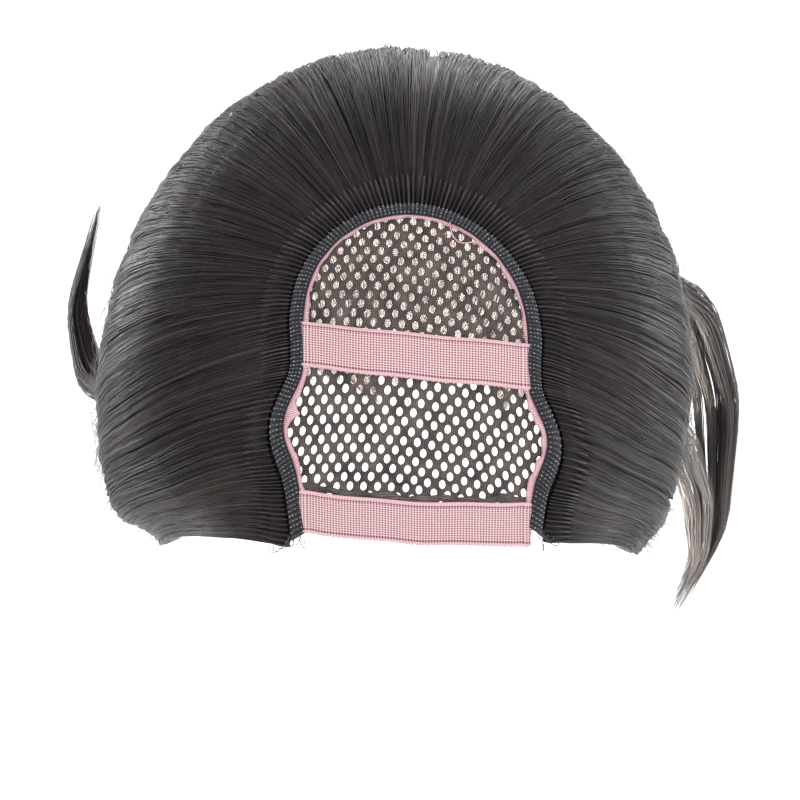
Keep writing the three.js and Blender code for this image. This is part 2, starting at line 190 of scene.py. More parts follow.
def opening_outline():
    """The edge of the opening in plan, from the left front corner round the rear, evenly spaced."""
    round_centre = opening_back - opening_round_length
    side_length = round_centre + opening_front

    def slant(y, side):
        return -side * opening_slant * smooth((y + opening_front) / side_length) * 0.5

    corners = {}
    for sign in (-1, 1):
        corners[sign] = []
        for along, half_width in opening_side:
            x = opening_offset + sign * half_width * opening_half_width
            y = round_centre - along * side_length
            corners[sign].append((x, y + slant(y, sign)))
    rear = []
    for angle in np.pi * (1 - np.arange(9) / 8):
        rear.append((
            opening_offset + math.cos(angle) * opening_half_width,
            round_centre + math.sin(angle) * opening_round_length + slant(round_centre, math.cos(angle)),
        ))
    p = np.array(corners[-1][::-1] + rear + corners[1])
    p = np.vstack([2 * p[0] - p[1], p, 2 * p[-1] - p[-2]])
    # a smooth curve through the corners, a cubic between each two
    steps = np.linalg.norm(np.diff(p, axis=0), axis=1) ** 0.5
    share = np.linspace(0, 1, 160, endpoint=False)[:, None]
    found = []
    for k in range(1, len(p) - 2):
        before, here, after = steps[k - 1], steps[k], steps[k + 1]
        into, over, onwards = p[k] - p[k - 1], p[k + 1] - p[k], p[k + 2] - p[k + 1]
        a = (into / before - (into + over) / (before + here) + over / here) * here
        b = (over / here - (over + onwards) / (here + after) + onwards / after) * here
        square = 3 * over - 2 * a - b
        cube = a + b - 2 * over
        found.append(p[k] + a * share + square * share ** 2 + cube * share ** 3)
    found = np.vstack(found + [p[-2:-1]])
    length = lengths_along(found)
    return between_rows(np.linspace(0, length[-1], edge_points), length, found), length[-1]


outline, edge_length = opening_outline()
outline_along = unit(np.gradient(outline, axis=0))
outline_shares = np.linspace(0, 1, edge_points)


def beside_edge(t, aside, out):
    """The point of the edge at lane t, moved outwards in plan by aside and lifted off the head by out."""
    here = between_rows(t, outline_shares, outline)
    ahead = between_rows(t, outline_shares, outline_along)
    return on_head(here[..., 0] - ahead[..., 1] * aside, here[..., 1] + ahead[..., 0] * aside, out)


def new_piece(name, points, faces, material, flat_uv=None, tint=None):
    """A mesh object from points in millimetres and equal-sided faces, turned so that it faces outwards."""
    points = np.asarray(points, float).reshape(-1, 3)
    faces = np.asarray(faces, np.int64)
    a, b, c = (points[faces[:, k]] for k in (0, 1, 2))
    volume = np.einsum("ij,ij->i", a, np.cross(b, c)).sum()
    if faces.shape[1] == 4:
        volume += np.einsum("ij,ij->i", a, np.cross(c, points[faces[:, 3]])).sum()
    if volume < 0:
        faces = faces[:, ::-1]
    mesh = bpy.data.meshes.new(name)
    mesh.vertices.add(len(points))
    mesh.vertices.foreach_set("co", (points * 0.001).ravel())
    mesh.loops.add(faces.size)
    mesh.loops.foreach_set("vertex_index", faces.ravel())
    mesh.polygons.add(len(faces))
    mesh.polygons.foreach_set("loop_start", np.arange(len(faces)) * faces.shape[1])
    mesh.polygons.foreach_set("use_smooth", np.full(len(faces), True))
    if flat_uv is not None:
        layer = mesh.uv_layers.new(name="cloth_mm")
        layer.uv.foreach_set("vector", np.asarray(flat_uv, float).reshape(-1, 2)[faces.ravel()].ravel())
    if tint is not None:
        mesh.attributes.new("tint", "FLOAT", "POINT").data.foreach_set("value", np.asarray(tint, float).ravel())
    mesh.update(calc_edges=True)
    mesh.validate()
    made = bpy.data.objects.new(name, mesh)
    bpy.context.scene.collection.objects.link(made)
    made.data.materials.append(material)
    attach(made, "root")
    return made


def new_wall(name, outer, inner, uv, material, slot):
    """A closed wall between two faces, given as grids of points with their places on the flat cloth."""
    n, m = outer.shape[:2]
    ids = np.arange(2 * n * m).reshape(2, n, m)
    quads = []
    for grid, order in ((ids[0], (0, 1, 2, 3)), (ids[1], (3, 2, 1, 0))):
        corners = np.stack([grid[:-1, :-1], grid[1:, :-1], grid[1:, 1:], grid[:-1, 1:]], -1)
        quads.append(corners.reshape(-1, 4)[:, list(order)])
    rim = np.concatenate([ids[:, :, 0], ids[:, -1, 1:], ids[:, ::-1, -1][:, 1:], ids[:, 0, ::-1][:, 1:]], 1)
    quads.append(np.stack([rim[0, :-1], rim[1, :-1], rim[1, 1:], rim[0, 1:]], -1))
    return new_piece(name, np.stack([outer, inner]), np.concatenate(quads), material, flat_uv=[uv, uv])


# The shaders of the cloths are built from their flat places in millimetres and from fine noise.
def cloth_uv(material):
    return add(material.node_tree, "ShaderNodeUVMap", uv_map="cloth_mm").outputs["UV"]


def grain(material, scale, detail, place=None):
    place = place or add(material.node_tree, "ShaderNodeTexCoord").outputs["Object"]
    inputs = {"Vector": place, "Scale": scale, "Detail": detail}
    return add(material.node_tree, "ShaderNodeTexNoise", inputs).outputs["Fac"]


def stripes(uv, pitch, distortion, detail, detail_scale=1.0, direction="X"):
    """Stripes across the flat cloth, pitch apart: a wave texture at scale 1 repeats every 2 pi / 20."""
    inputs = {
        "Vector": uv, "Scale": 2 * math.pi / 20 / pitch,
        "Distortion": distortion, "Detail": detail, "Detail Scale": detail_scale,
    }
    return add(
        uv.id_data, "ShaderNodeTexWave", inputs, wave_type="BANDS", bands_direction=direction,
    ).outputs["Fac"]


def maths(operation, a, b=0.5, **settings):
    return add(a.id_data, "ShaderNodeMath", {0: a, 1: b}, operation=operation, **settings).outputs[0]


def relief(shader, height, strength, distance, **settings):
    inputs = {"Height": height, "Strength": strength, "Distance": distance}
    made = add(height.id_data, "ShaderNodeBump", inputs, **settings)
    join_up(made.outputs["Normal"], shader.inputs["Normal"])


# Knitted polyester net: matt, slightly fuzzy yarn loops, black that reads as a warm dark grey in light.
polyester_net, yarn = new_material(
    "polyester_net", {"Roughness": 0.78, "Sheen Weight": 0.1, "Sheen Roughness": 0.4},
)
fuzz = grain(polyester_net, 2600.0, 4.0)
blotched = maths("MULTIPLY", fuzz, grain(polyester_net, 160.0, 2.0))
ladder = stripes(cloth_uv(polyester_net), 0.62, 1.6, 2.0)
wales = add(polyester_net.node_tree, "ShaderNodeMapRange", {"Value": ladder, "To Min": 0.62, "To Max": 1.25})
knitted = maths("MULTIPLY", blotched, wales.outputs[0])
join_up(ramp(knitted, (0.12, "#1B1718"), (0.42, "#665956")), yarn.inputs["Base Color"])
relief(yarn, fuzz, 0.6, 0.0003)

# One cell of the net is a hexagon round an oval hole. The yarn is roundest halfway between them.
net_pitch_across, net_pitch_along = 4.1, 2.8
hole_half_across, hole_half_along = 0.92, 1.36
net_turn = math.radians(-6)
net_front, under_tape = 66.0, 3.6
peak = (net_pitch_across ** 2 / 4 + net_pitch_along ** 2) / 2 / net_pitch_along
shoulder = peak - net_pitch_across ** 2 / 4 / net_pitch_along
cell = np.array([
    (0, peak), (-net_pitch_across / 2, shoulder), (-net_pitch_across / 2, -shoulder),
    (0, -peak), (net_pitch_across / 2, -shoulder), (net_pitch_across / 2, shoulder),
])
cell_edge = np.stack([cell, (cell + np.roll(cell, -1, axis=0)) / 2], 1).reshape(-1, 2)
cell_angle = np.arctan2(cell_edge[:, 1] / hole_half_along, cell_edge[:, 0] / hole_half_across)
hole_edge = np.stack([hole_half_across * np.cos(cell_angle), hole_half_along * np.sin(cell_angle)], -1)
yarn_top = mix(cell_edge, hole_edge, 0.55)


def inside_outline(x, y, spare):
    """Which points in plan lie inside the opening, or outside it by less than spare."""
    loop = outline[::10]
    following = np.roll(loop, -1, axis=0)
    crossings = np.zeros(x.shape, int)
    for a, b in zip(loop, following):
        between = (a[1] > y) != (b[1] > y)
        crossings += between & (x < a[0] + (y - a[1]) / (b[1] - a[1] + 1e-12) * (b[0] - a[0]))
    nearest = np.min(np.hypot(loop[:, 0] - x[..., None], loop[:, 1] - y[..., None]), axis=-1)
    return (crossings % 2 == 1) | (nearest < spare)


def net_plan(flat):
    """Lays a point of the flat net on the crown: lengths along the net are kept along the head."""
    across, along = flat[..., 0], flat[..., 1]
    x = across * math.cos(net_turn) - along * math.sin(net_turn)
    y = across * math.sin(net_turn) + along * math.cos(net_turn)
    x = opening_offset + head_half_width * np.sin(np.clip(x / head_half_width, -1.4, 1.4))
    return x, head_half_length * np.sin(np.clip(y / head_half_length, -1.4, 1.4))


# each cell is five rings of points: its edge, the yarn's top, the hole, and back below
net_rings = [
    (cell_edge, 1.2, 0), (yarn_top, 1.4, 0.6), (hole_edge, 1.0, 1), (yarn_top, 0.6, 0.6), (cell_edge, 0.45, 0),
]
rows, columns = np.meshgrid(np.arange(-40, 14), np.arange(-16, 17), indexing="ij")
middles = np.stack([(columns + 0.5 * (rows % 2)) * net_pitch_across, rows * net_pitch_along], -1).reshape(-1, 2)
middle_x, middle_y = net_plan(middles)
middles = middles[inside_outline(middle_x, middle_y, under_tape) & (middle_y > -net_front)]
uneven = chance.normal(0, 0.09, middles.shape)
count, sides = len(middles), len(cell_edge)
rings, laid_flat = [], []
for ring, height, loose in net_rings:
    flat = middles[:, None, :] + ring[None] + loose * uneven[:, None, :]
    x, y = net_plan(flat)
    swell = 0.22 * np.sin(flat[..., 0] * 0.31) * np.sin(flat[..., 1] * 0.23 + 1)
    rings.append(on_head(x, y, height + swell))
    laid_flat.append(flat)
points = np.stack(rings, 1)
ids = np.arange(count * len(net_rings) * sides).reshape(count, -1, sides)
# neighbouring cells share the points of their edges, and the outermost edges get a narrow wall
keys = np.round(points[:, [0, -1]].reshape(-1, 3) * 50).astype(int)
_, first, same = np.unique(keys, axis=0, return_index=True, return_inverse=True)
shared = ids[:, [0, -1]].reshape(-1)
ids[:, [0, -1]] = shared[first][same.reshape(-1)].reshape(count, 2, sides)
turned = np.roll(ids, -1, axis=2)
quads = np.stack([ids[:, :-1], turned[:, :-1], turned[:, 1:], ids[:, 1:]], -1).reshape(-1, 4)
top, top_next = ids[:, 0].ravel(), turned[:, 0].ravel()
low, low_next = ids[:, -1].ravel(), turned[:, -1].ravel()
seen = set(zip(top.tolist(), top_next.tolist()))
edge = np.array([(b, a) not in seen for a, b in zip(top.tolist(), top_next.tolist())])
quads = np.concatenate([quads, np.stack([top[edge], low[edge], low_next[edge], top_next[edge]], -1)])
used, quads = np.unique(quads, return_inverse=True)
net_window = new_piece(
    "net_window", points.reshape(-1, 3)[used], quads.reshape(-1, 4), polyester_net,
    flat_uv=np.stack(laid_flat, 1).reshape(-1, 2)[used],
)
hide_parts("net_cap")

# The rest of the cap: the same net, seen only from below and inside, where the hair's wefts lie on it.
# It runs from under the tape down to a slanting rim from the temples to the nape.
weft_width, root_gap = 5.5, 0.9
front_sweep = math.radians(26)
hair_root, hair_rise, hair_fall = 2.2, 70.0, 250.0
front_fullness, left_fullness, right_fullness, back_fullness = 5.0, 16.5, 11.0, 16.0
front_edge_share = 0.13
tip_half_width, tip_half_length, tip_centre, tip_sweep = 72.0, 50.0, 45.0, 0.68
sweep_start, wave_length, wave_reach = 40.0, 120.0, 7.0
round_share = 0.5 * math.pi * opening_half_width / edge_length


def comb_angle(t):
    beside = np.abs(t - 0.5) / round_share
    front = np.maximum(0, (beside - 1) / (0.5 / round_share - 1))
    angle = np.where(beside < 1, np.pi / 2 * beside, np.pi / 2 - front_sweep * front ** 1.5)
    return np.sign(t - 0.5) * angle


def lane_of(t):
    """The upright plane over the head that the hair of lane t keeps to, before it falls."""
    root = beside_edge(t, weft_width + root_gap, 0)
    angle = comb_angle(t)
    lane = SimpleNamespace(t=t, dx=np.sin(angle) / head_half_width, dy=np.cos(angle) / head_half_length)
    lane.x0, lane.y0 = root[..., 0] / head_half_width, root[..., 1] / head_half_length
    square = lane.dx ** 2 + lane.dy ** 2
    lane.middle = -(lane.x0 * lane.dx + lane.y0 * lane.dy) / square
    lane.share = np.sqrt(1 - lane.x0 ** 2 - lane.y0 ** 2 + lane.middle ** 2 * square)
    lane.half = lane.share / np.sqrt(square)
    lane.start = np.arcsin(-lane.middle / lane.half)
    lane.radius = (lane.half + head_rise * lane.share) / 2
    lane.over_head = (np.pi / 2 - lane.start) * lane.radius
    ahead = lane.middle + lane.half
    lane.edge = np.arctan2(lane.x0 + lane.dx * ahead, lane.y0 + lane.dy * ahead)
    return lane


def hair_point(lane, along, out):
    """The point of a lane at a distance from the weft, lifted by out from the hair's inner face.

    Over the head the lane follows the head form. Below its widest level it falls, narrows and waves.
    """
    fall = along - lane.over_head
    over = fall < 0
    a = lane.start + np.minimum(along, lane.over_head) / lane.radius
    ahead = lane.middle + lane.half * np.sin(a)
    z = np.where(over, head_rise * (lane.share * np.cos(a) - 1), -head_rise - fall)
    angle = np.where(over, np.arctan2(lane.x0 + lane.dx * ahead, lane.y0 + lane.dy * ahead), lane.edge)
    swept = smooth(np.maximum(0, (fall + sweep_start) / (hair_fall + sweep_start)) ** 0.7)
    waved = smooth(fall / hair_fall) * wave_reach
    phase = 2 * np.pi * fall / wave_length + 5 * lane.t
    angle = angle - (1 - tip_sweep) * lane.edge * swept + waved * np.sin(phase) / head_half_length
    level = np.sqrt(np.clip(1 - (1 + z / head_rise) ** 2, 0, 1))
    fallen = smooth((-head_rise - z) / hair_fall)
    half_width = np.where(over, head_half_width * level, mix(head_half_width, tip_half_width, fallen))
    half_length = np.where(over, head_half_length * level, mix(head_half_length, tip_half_length, fallen))
    centre = np.where(over, 0, tip_centre * fallen)
    up = np.maximum(0, 1 + z / head_rise) / head_rise
    sine, cosine = np.sin(angle), np.cos(angle)
    normal = unit(np.stack([
        np.where(up > 0, half_width * sine / head_half_width ** 2, sine / np.maximum(half_width, 1)),
        np.where(up > 0, half_length * cosine / head_half_length ** 2, cosine / np.maximum(half_length, 1)),
        up,
    ], -1))
    point = np.stack([half_width * sine, centre + half_length * cosine, z], -1)
    return point + normal * (out + waved * 0.5 * np.cos(phase))[..., None]


def fullness_at(lane, along):
    most = np.where(lane.t < 0.5, left_fullness, right_fullness)
    most = mix(back_fullness, most, smooth((np.abs(lane.t - 0.5) - 0.1) / 0.2))
    full = mix(front_fullness, most, smooth((0.5 - np.abs(lane.t - 0.5)) / front_edge_share))
    fallen = np.maximum(0, along - lane.over_head) / hair_fall
    return mix(hair_root, full, smooth(along / hair_rise)) * (1 - 0.45 * smooth(fallen))


# the rim's depth below the crown at the temples and at the nape, and how far down each lane reaches it
rim_front_y, rim_front_depth, rim_rear_y, rim_rear_depth = -69.0, 31.0, 85.0, 130.0
rim_slope = (rim_rear_depth - rim_front_depth) / (rim_rear_y - rim_front_y)
# the right front corner lies a little further back than the left one
right_end = 0.982
lanes_across = np.linspace(0, right_end, 161)
body_lane = lane_of(lanes_across[:, None])
probe = np.linspace(0, 170, 341)
probe_points = hair_point(body_lane, probe, 0)
within = probe_points[..., 2] > -rim_front_depth - rim_slope * (probe_points[..., 1] - rim_front_y)
rim_along = np.maximum(12, np.where(within, probe, 0).max(axis=1))
rim_along = np.convolve(np.pad(rim_along, 4, mode="edge"), np.ones(9) / 9, mode="valid")
along = np.linspace(0, 1, 31)[None] ** 1.1 * rim_along[:, None]
body_outer, body_inner = [
    np.concatenate([
        beside_edge(lanes_across[:, None], np.array([2.6, 4.4]), out), hair_point(body_lane, along, out),
    ], 1) for out in (0.95, 0.15)
]
down_cloth = np.concatenate([np.tile([-3.6, -1.8], (len(along), 1)), along], 1)
body_uv = np.stack(np.broadcast_arrays(lanes_across[:, None] * edge_length * 1.6, down_cloth), -1)

# The same yarn where the knit isn't modelled hole by hole: the staggered holes are painted as dark pits, a
# painted shade for the gaps in the knit.
stretched_net, pitted = new_material("stretched_polyester_net", {"Roughness": 0.8})
net_axes = add(stretched_net.node_tree, "ShaderNodeSeparateXYZ", {"Vector": cloth_uv(stretched_net)}).outputs
row = maths("DIVIDE", net_axes["Y"], net_pitch_along)
column = maths("DIVIDE", net_axes["X"], net_pitch_across)
staggered = maths("ADD", column, maths("MULTIPLY", maths("FLOOR", row), 0.5))
pit = []
for place, reach in ((staggered, 0.27), (row, 0.4)):
    centred = maths("SUBTRACT", maths("FRACT", place), 0.5)
    pit.append(maths("POWER", maths("DIVIDE", centred, reach), 2.0))
# painted shade: darkest in the middle of each hole, the yarn's own dark brown between them
knit_and_hole_shade = ramp(maths("ADD", pit[0], pit[1]), (0.7, "#131011"), (0.95, "#3E3839"))
join_up(knit_and_hole_shade, pitted.inputs["Base Color"])
relief(pitted, knit_and_hole_shade, 0.8, 0.0006)

net_body = new_wall("net_cap_body", body_outer, body_inner, body_uv, stretched_net, "net")
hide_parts("net_cap")

# Hem of the net: a narrow rolled edge of the same yarn, just under the rear edge of the front band.
def round_quads(ring_count, ring_size):
    """The numbers of the points of many rings, and the faces between the rings."""
    ids = np.arange(ring_count * ring_size).reshape(ring_count, ring_size)
    turned = np.roll(ids, -1, axis=1)
    return ids, np.stack([ids[:-1], turned[:-1], turned[1:], ids[1:]], -1).reshape(-1, 4)


def beside_and_off(points, lifts):
    """Directions square to a path, beside it and off the head; lifts point roughly off the head."""
    along_it = unit(np.gradient(points, axis=-2))
    beside = unit(np.cross(along_it, lifts))
    return beside, np.cross(beside, along_it)


def circle(sides):
    turn = np.linspace(0, 2 * np.pi, sides, endpoint=False)
    return np.stack([np.cos(turn), np.sin(turn)], -1)


def swept_roll(points, lifts, sections):
    """Closed tube along points, with the (beside, off) of each ring in sections."""
    beside, off = beside_and_off(points, lifts)
    rings = points[:, None] + sections[..., :1] * beside[:, None] + sections[..., 1:] * off[:, None]
    n, m = rings.shape[:2]
    ids, quads = round_quads(n, m)
    ends = np.stack([rings[0].mean(0), rings[-1].mean(0)])
    first, last = n * m, n * m + 1
    caps = [[first, ids[0, (k + 2) % m], ids[0, k + 1], ids[0, k]] for k in range(0, m, 2)]
    caps += [[last, ids[-1, k], ids[-1, k + 1], ids[-1, (k + 2) % m]] for k in range(0, m, 2)]
    return np.concatenate([rings.reshape(-1, 3), ends]), np.concatenate([quads, caps])


def edge_at(side, y):
    """The point of the opening's left (-1) or right (1) edge that is nearest to y."""
    rear = edge_points // 2
    half = outline[:rear + 1] if side < 0 else outline[rear:]
    return half[np.abs(half[:, 1] - y).argmin()]


hem_left, hem_right, hem_bow = edge_at(-1, -63.4), edge_at(1, -63.9), 5
hem_share = np.linspace(0, 1, 120)
hem_x = mix(hem_left[0] - 1, hem_right[0] + 1, hem_share)
hem_y = mix(hem_left[1], hem_right[1], hem_share) + hem_bow * (2 * hem_share - 1) ** 2
hem_y = hem_y + 0.3 * np.sin(hem_share * 23) + 0.25 * np.sin(hem_share * 51 + 1)
hem_middle = on_head(hem_x, hem_y, 1.5)
hem_off = on_head(hem_x, hem_y, 2.5) - hem_middle
hem_half = np.stack([1.25 + 0.25 * np.sin(hem_share * 37), 0.5 + 0 * hem_share], -1)
hem_points, hem_faces = swept_roll(hem_middle, hem_off, hem_half[:, None] * circle(10))
net_hem = new_piece("net_hem", hem_points, hem_faces, polyester_net, flat_uv=hem_points[:, 1::-1])
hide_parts("net_cap")

# Tape binding: pale pink ribbed tape folded round the cut edge of the net and sewn down under the weft.
# It shows as a narrow wavy roll, wider where the edge bulges, with one loose loop of its pink thread.
tape_steps, crumple_share, crumple_most = 420, 0.28, 1.3
tape_share = np.linspace(0, right_end, tape_steps)
# share of the edge, from the left front corner round, and how far the roll shows inside it there
tape_shows = np.array([
    (0, 1.2), (0.1, 1.1), (0.17, 2.3), (0.22, 1.1), (0.27, 0.9), (0.32, 0.6), (0.38, 0.15), (0.43, 0.55),
    (0.5, 0.75), (0.58, 0.5), (0.66, 1.0), (0.72, 0.35), (0.76, 0.4), (0.83, 1.7), (0.9, 1.0), (1, 0.8),
])
tape_show = np.interp(tape_share, tape_shows[:, 0], tape_shows[:, 1])
tape_show = tape_show * (1 + 0.3 * np.sin(tape_share * 96) + 0.25 * np.sin(tape_share * 171 + 2))
crumple = np.convolve(chance.normal(0, 1, tape_steps + 6), np.ones(7) / 7 ** 0.5, mode="valid")
crumple = crumple_share * np.clip(crumple, -crumple_most, crumple_most)
tape_show = tape_show * (1 + crumple) + 0.12 * np.sin(tape_share * 263 + 1)
# the folded tape's section: distance outside the edge, and height over the head form
tape_roll = np.array([
    (3.9, 2.55), (2.8, 2.6), (1.2, 2.66), (-0.2, 2.85), (-0.55, 3.05), (-0.85, 2.9), (-1.0, 2.4),
    (-0.9, 1.9), (-0.55, 1.65), (0.2, 1.62), (2.4, 1.6), (3.9, 1.6),
])
shown = tape_roll[:, 0] < 0
tape_aside = np.where(shown, tape_roll[:, 0] * np.maximum(0.1, tape_show)[:, None], tape_roll[:, 0])
tape_up = tape_roll[:, 1] + np.where(shown, 0.14 * np.sin(tape_share * 133)[:, None], 0)
tape_rings = beside_edge(tape_share[:, None], tape_aside, tape_up)


def ring_tube(rings):
    """Faces of a closed tube through rings of points, with a fan over each end."""
    n, m = rings.shape[:2]
    ids, quads = round_quads(n, m)
    caps = []
    for k in range(1, m // 2):
        caps.append([ids[0, m - k], ids[0, m - k - 1], ids[0, k], ids[0, k - 1]][::-1])
        caps.append([ids[-1, m - k], ids[-1, m - k - 1], ids[-1, k], ids[-1, k - 1]])
    return np.concatenate([quads, caps])


# Woven polyester tape: soft satin gleam, fine ribs across its length half a millimetre apart, darker in their
# grooves as painted shade, with a fine grain.
woven_tape, tape = new_material("woven_polyester_tape", {"Roughness": 0.5, "Sheen Weight": 0.3})
tape_rib_shade_and_grain = maths("MULTIPLY", stripes(cloth_uv(woven_tape), 0.5, 2.4, 2.0), grain(woven_tape, 220.0, 5.0))
# painted shade: the grooves between the ribs take the dark mauve, the ribs and the grain the pale pink
join_up(ramp(tape_rib_shade_and_grain, (0.05, "#976C76"), (0.5, "#DDB4BA")), tape.inputs["Base Color"])
relief(tape, tape_rib_shade_and_grain, 0.45, 0.0003)

tape_uv = np.stack(np.broadcast_arrays(tape_share[:, None] * edge_length, lengths_along(tape_roll)), -1)
binding = new_piece(
    "edge_binding_tape", tape_rings, ring_tube(tape_rings), woven_tape, flat_uv=tape_uv,
)
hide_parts("edge_binding")


def smooth_path(points, count):
    """An even curve through a few points."""
    points = np.asarray(points, float)
    length = lengths_along(points)
    path = between_rows(np.linspace(0, length[-1], count * 4), length, points)
    for _ in range(3 * count // len(points) + 2):
        path[1:-1] = (path[:-2] + 2 * path[1:-1] + path[2:]) / 4
    return path[np.linspace(0, len(path) - 1, count).astype(int)]


def thread(path, lift, radius):
    """A round thread along a path."""
    sections = np.broadcast_to(radius * circle(6), (len(path), 6, 2))
    return swept_roll(path, np.tile(lift, (len(path), 1)), sections)


# the loose pink loop: lane, distance outside the edge and height of each point
loop_rows = [
    (0.60, -0.6, 3.0), (0.592, -2.6, 3.6), (0.585, -4.6, 3.9), (0.575, -5.4, 4.0), (0.563, -4.4, 3.8),
    (0.556, -2.4, 3.5), (0.55, 0.2, 3.2),
]
loop_path = smooth_path([beside_edge(*row) for row in loop_rows], 40)
loop_points, loop_faces = thread(loop_path, [0, 0, 1.0], 0.24)
new_piece("binding_thread_loop", loop_points, loop_faces, woven_tape, flat_uv=loop_points[:, :2])

# Elastic bands: two woven pink elastics, 13 mm wide, stretched over the net from tape to tape. Each has a
# rolled selvedge, a dark magenta yarn just inside both edges, a picot lower edge and folded, sewn ends.
# Woven elastic: matt pale pink yarn over fine rubber, with small mauve gaps between the yarns.
woven_elastic, elastic_yarn = new_material("woven_elastic", {"Roughness": 0.82, "Sheen Weight": 0.1})
elastic_uv = cloth_uv(woven_elastic)
band_width = 13.0
warp, filling = [
    stripes(elastic_uv, pitch, 0.35, 1.0, detail_scale=0.5, direction=direction)
    for direction, pitch in (("X", 0.84), ("Y", 0.7))
]
gap_share = maths("MULTIPLY", warp, filling)
relief(elastic_yarn, gap_share, 0.9, 0.00035, invert=True)
elastic_axes = add(woven_elastic.node_tree, "ShaderNodeSeparateXYZ", {"Vector": elastic_uv}).outputs
from_middle = maths("ABSOLUTE", maths("SUBTRACT", elastic_axes["Y"], band_width / 2))


def past(begin, end):
    """0 up to a distance from the band's middle line and 1 from another on."""
    inputs = {"Value": from_middle, "From Min": begin, "From Max": end}
    return add(woven_elastic.node_tree, "ShaderNodeMapRange", inputs).outputs[0]


def tinted(share, below, above):
    inputs = {"Fac": share, "Color1": below, "Color2": linear(above)}
    return add(woven_elastic.node_tree, "ShaderNodeMixRGB", inputs).outputs["Color"]


selvedge = past(5.45, 5.65)
line_share = maths(
    "MULTIPLY", maths("SUBTRACT", past(4.95, 5.2), selvedge), maths("ADD", warp, 0.35, use_clamp=True),
)
elastic_colour = tinted(line_share, ramp(gap_share, (0.2, "#CFACB0"), (0.6, "#5A3640")), "#6B2A45")
join_up(tinted(selvedge, elastic_colour, "#D3ABB1"), elastic_yarn.inputs["Base Color"])

long_count, wide_count = 121, 27
band_top, band_bottom, band_tuck = 3.0, 2.1, 0.6
picot_depth, picot_count, roll_height, sewn_height = 0.22, 44, 0.35, 0.55
across_share, down_share = np.meshgrid(
    np.linspace(0, 1, long_count), np.linspace(0, 1, wide_count), indexing="ij",
)
for name, back, left_rise, end_bow, wave_phase in (
    ("middle_band", 22.0, 2.0, 4.0, 0.4), ("front_band", 64.0, 0.25, 5.0, 2.1),
):
    # the width in plan that gives the band its true width on the sloping head
    step = on_head(opening_offset, -back - band_width / 2, 0.0) - on_head(opening_offset, -back, 0.0)
    plan_width = band_width * band_width / 2 / np.linalg.norm(step)
    left_of = edge_at(-1, -back - plan_width / 2 + end_bow + left_rise)
    right_of = edge_at(1, -back - plan_width / 2 + end_bow - left_rise)
    open_width = right_of[0] - left_of[0]
    picot = picot_depth * np.maximum(0, np.sin(across_share * 2 * np.pi * picot_count))
    picot = picot * smooth((down_share - 0.93) / 0.07)
    x = mix(left_of[0] - band_tuck, right_of[0] + band_tuck, across_share)
    y = -back - plan_width * down_share + mix(left_rise, -left_rise, across_share)
    y = y + 0.12 * np.sin(across_share * 17 + wave_phase) - picot + end_bow * (2 * across_share - 1) ** 2
    rolled = roll_height * np.exp(-(np.abs(down_share - 0.5) - 0.475) ** 2 / 0.0006)
    sewn = sewn_height * smooth((np.abs(across_share - 0.5) - 0.465) / 0.01)
    rippled = 0.12 * np.sin(across_share * 29 + wave_phase) * np.sin(down_share * 5)
    tapered = np.abs(down_share - 0.5) > 0.499
    raised = band_top + rolled + sewn + rippled - 0.3 * tapered
    lowered = band_bottom + 0.5 * rippled + 0.12 * tapered
    band_uv = np.stack([across_share * open_width * 1.05, down_share * band_width], -1)
    faces = on_head(x, y, raised), on_head(x, y, lowered)
    elastic = new_wall(f"{name}_elastic", *faces, band_uv, woven_elastic, "elastic")
    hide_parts(name)

# Weft: the dark, machine-sewn head of the hair, laid over the tape along the whole edge. Four rows of tiny
# stitches with painted pale glints run along it, and threads fray out at both front corners.
# Cotton-polyester sewing thread: charcoal blue, a little glossy; each stitch is coloured paler as a painted
# glint.
sewing_thread, strand = new_material("sewing_thread", {"Roughness": 0.6, "Specular IOR Level": 0.25})
thread_shade = add(sewing_thread.node_tree, "ShaderNodeAttribute", attribute_name="tint").outputs["Fac"]
join_up(ramp(thread_shade, (0, "#0D0E12"), (1, "#A6A7B4")), strand.inputs["Base Color"])
relief(strand, grain(sewing_thread, 3200.0, 2.0), 0.7, 0.0003)

rib_count, steps_a_rib, rib_depth = 186, 6, 0.2
weft_share = np.linspace(0, right_end, steps_a_rib * rib_count + 1)
# the strip's section: distance outside the edge, and height over the head form; its top is ribbed
weft_ring = np.array([
    (0.05, 3.0), (0.15, 3.5), (0.7, 3.95), (1.7, 4.15), (2.8, 4.1), (3.6, 3.8), (4.0, 3.2), (2.0, 2.95),
])
weft_rib = np.cos(weft_share / right_end * 2 * np.pi * rib_count)[:, None]
weft_up = weft_ring[:, 1] - rib_depth * weft_rib * (weft_ring[:, 1] > 3.6)
weft_rings = beside_edge(weft_share[:, None], weft_ring[:, 0], weft_up)
# painted shade: the grooves between the ribs are coloured darker than their crests
weft_groove_shade = np.tile(0.035 - 0.03 * weft_rib, len(weft_ring))
weft_strip = new_piece("weft_strip", weft_rings, ring_tube(weft_rings), sewing_thread, tint=weft_groove_shade)
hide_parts("edge_weft")

